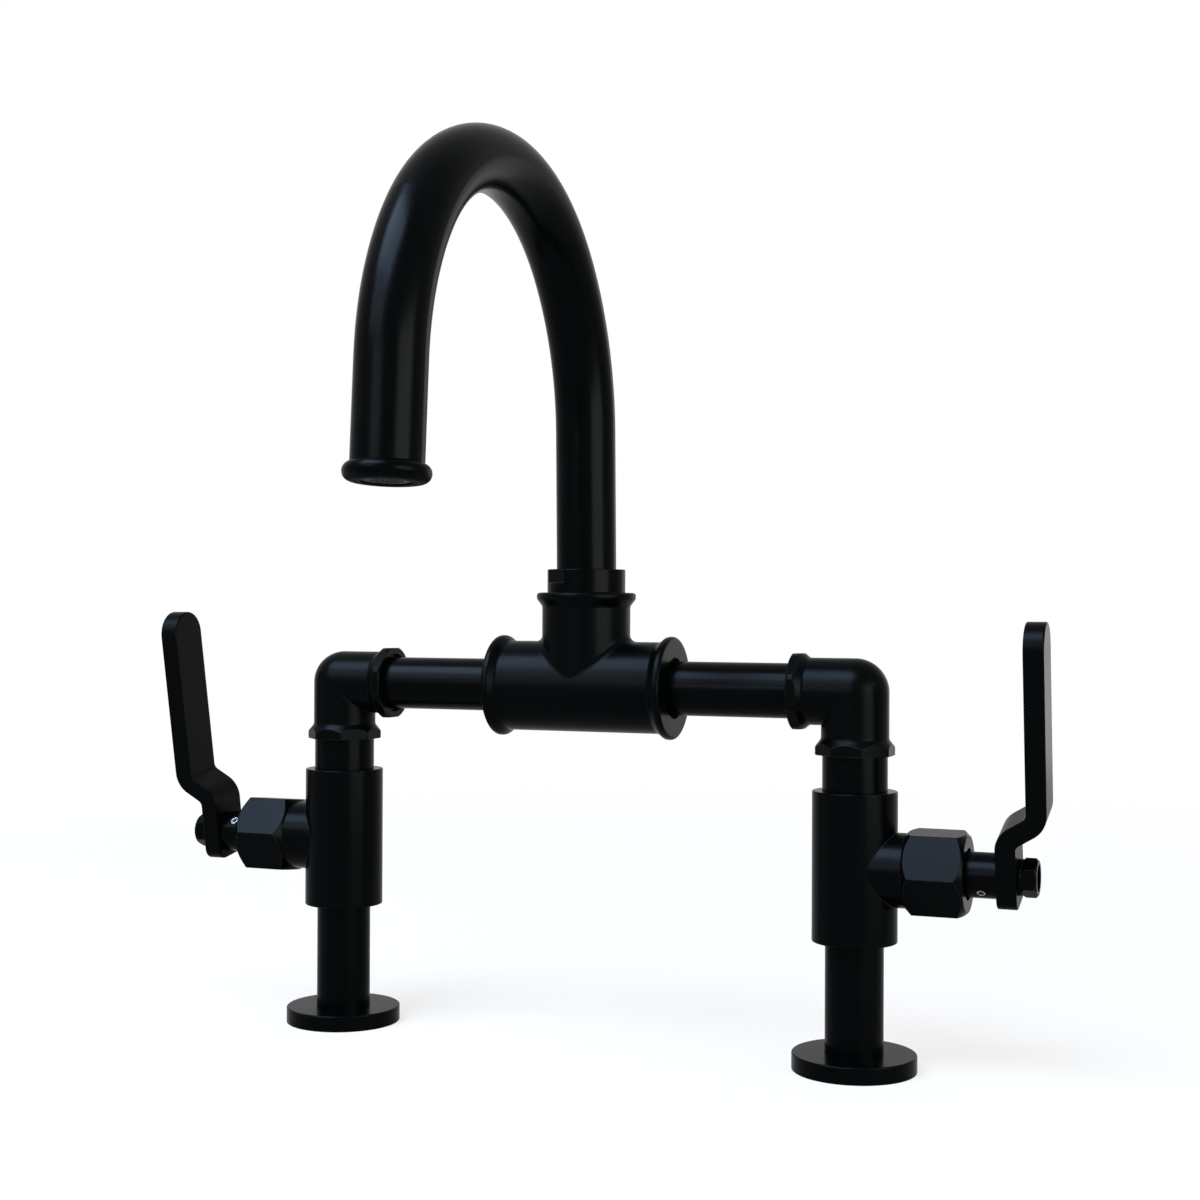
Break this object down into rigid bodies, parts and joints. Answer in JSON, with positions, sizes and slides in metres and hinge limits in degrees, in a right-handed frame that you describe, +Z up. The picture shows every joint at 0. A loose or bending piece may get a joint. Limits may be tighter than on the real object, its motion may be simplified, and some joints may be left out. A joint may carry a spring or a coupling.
{
  "type": "bridge bathroom faucet",
  "caption": "Matt black bridge faucet for a bathroom basin: a high gooseneck spout on a level bridge between two lever valves.",
  "frame": {"origin": "on the deck, midway between the centres of the two feet", "axes": "+Z up, +X to the right along the bridge as a user faces the faucet, -Y forward in the direction the spout reaches; water leaves at (0, -0.157, 0.197) m"},
  "size_m": [0.3416, 0.192, 0.3191],
  "materials": {
    "black_metal": "matt powder coat",
    "brass": "machined",
    "ceramic": "lapped",
    "rubber": "moulded",
    "steel": "bright",
    "pale_plastic": "moulded",
    "black_plastic": "moulded"
  },
  "bodies": {
    "bridge": {"bridge_tee": "black_metal", "left_bonnet_nut": "black_metal", "left_bridge_o_ring": "rubber", "left_bridge_pipe": "black_metal", "left_cartridge_body": "brass", "left_elbow": "black_metal", "left_fixed_disc": "ceramic", "left_foot_flange": "black_metal", "left_foot_gasket": "rubber", "left_foot_seal": "rubber", "left_nipple": "black_metal", "left_riser_tube": "black_metal", "left_seat_seal": "rubber", "left_valve_body": "black_metal", "right_bonnet_nut": "black_metal", "right_bridge_o_ring": "rubber", "right_bridge_pipe": "black_metal", "right_cartridge_body": "brass", "right_elbow": "black_metal", "right_fixed_disc": "ceramic", "right_foot_flange": "black_metal", "right_foot_gasket": "rubber", "right_foot_seal": "rubber", "right_nipple": "black_metal", "right_riser_tube": "black_metal", "right_seat_seal": "rubber", "right_valve_body": "black_metal", "spout_nut": "black_metal", "thrust_washer": "pale_plastic"},
    "spout": {"spout_shank": "brass", "spout_o_rings": "rubber", "spout_tube": "black_metal", "outlet_ring": "black_metal", "aerator_housing": "black_plastic", "aerator_mesh": "pale_plastic", "aerator_insert": "pale_plastic", "aerator_gasket": "rubber"},
    "left_handle": {"left_moving_disc": "ceramic", "left_spindle": "brass", "left_spindle_o_rings": "rubber", "left_stem_hub": "black_metal", "left_set_screw": "steel", "left_lever": "black_metal", "left_lever_washer": "black_metal", "left_end_nut": "black_metal"},
    "right_handle": {"right_moving_disc": "ceramic", "right_spindle": "brass", "right_spindle_o_rings": "rubber", "right_stem_hub": "black_metal", "right_set_screw": "steel", "right_lever": "black_metal", "right_lever_washer": "black_metal", "right_end_nut": "black_metal"}
  },
  "joints": [
    {"name": "spout_swivel", "type": "hinge", "parent": "bridge", "child": "spout", "pos_m": [0, 0, 0.167], "axis": [0, 0, 1], "continuous": true},
    {"name": "left_lever_turn", "type": "hinge", "parent": "bridge", "child": "left_handle", "pos_m": [-0.1016, 0, 0.07135], "axis": [1, 0, 0], "range_deg": [0, 90]},
    {"name": "right_lever_turn", "type": "hinge", "parent": "bridge", "child": "right_handle", "pos_m": [0.1016, 0, 0.07065], "axis": [1, 0, 0], "range_deg": [0, 90]}
  ]
}
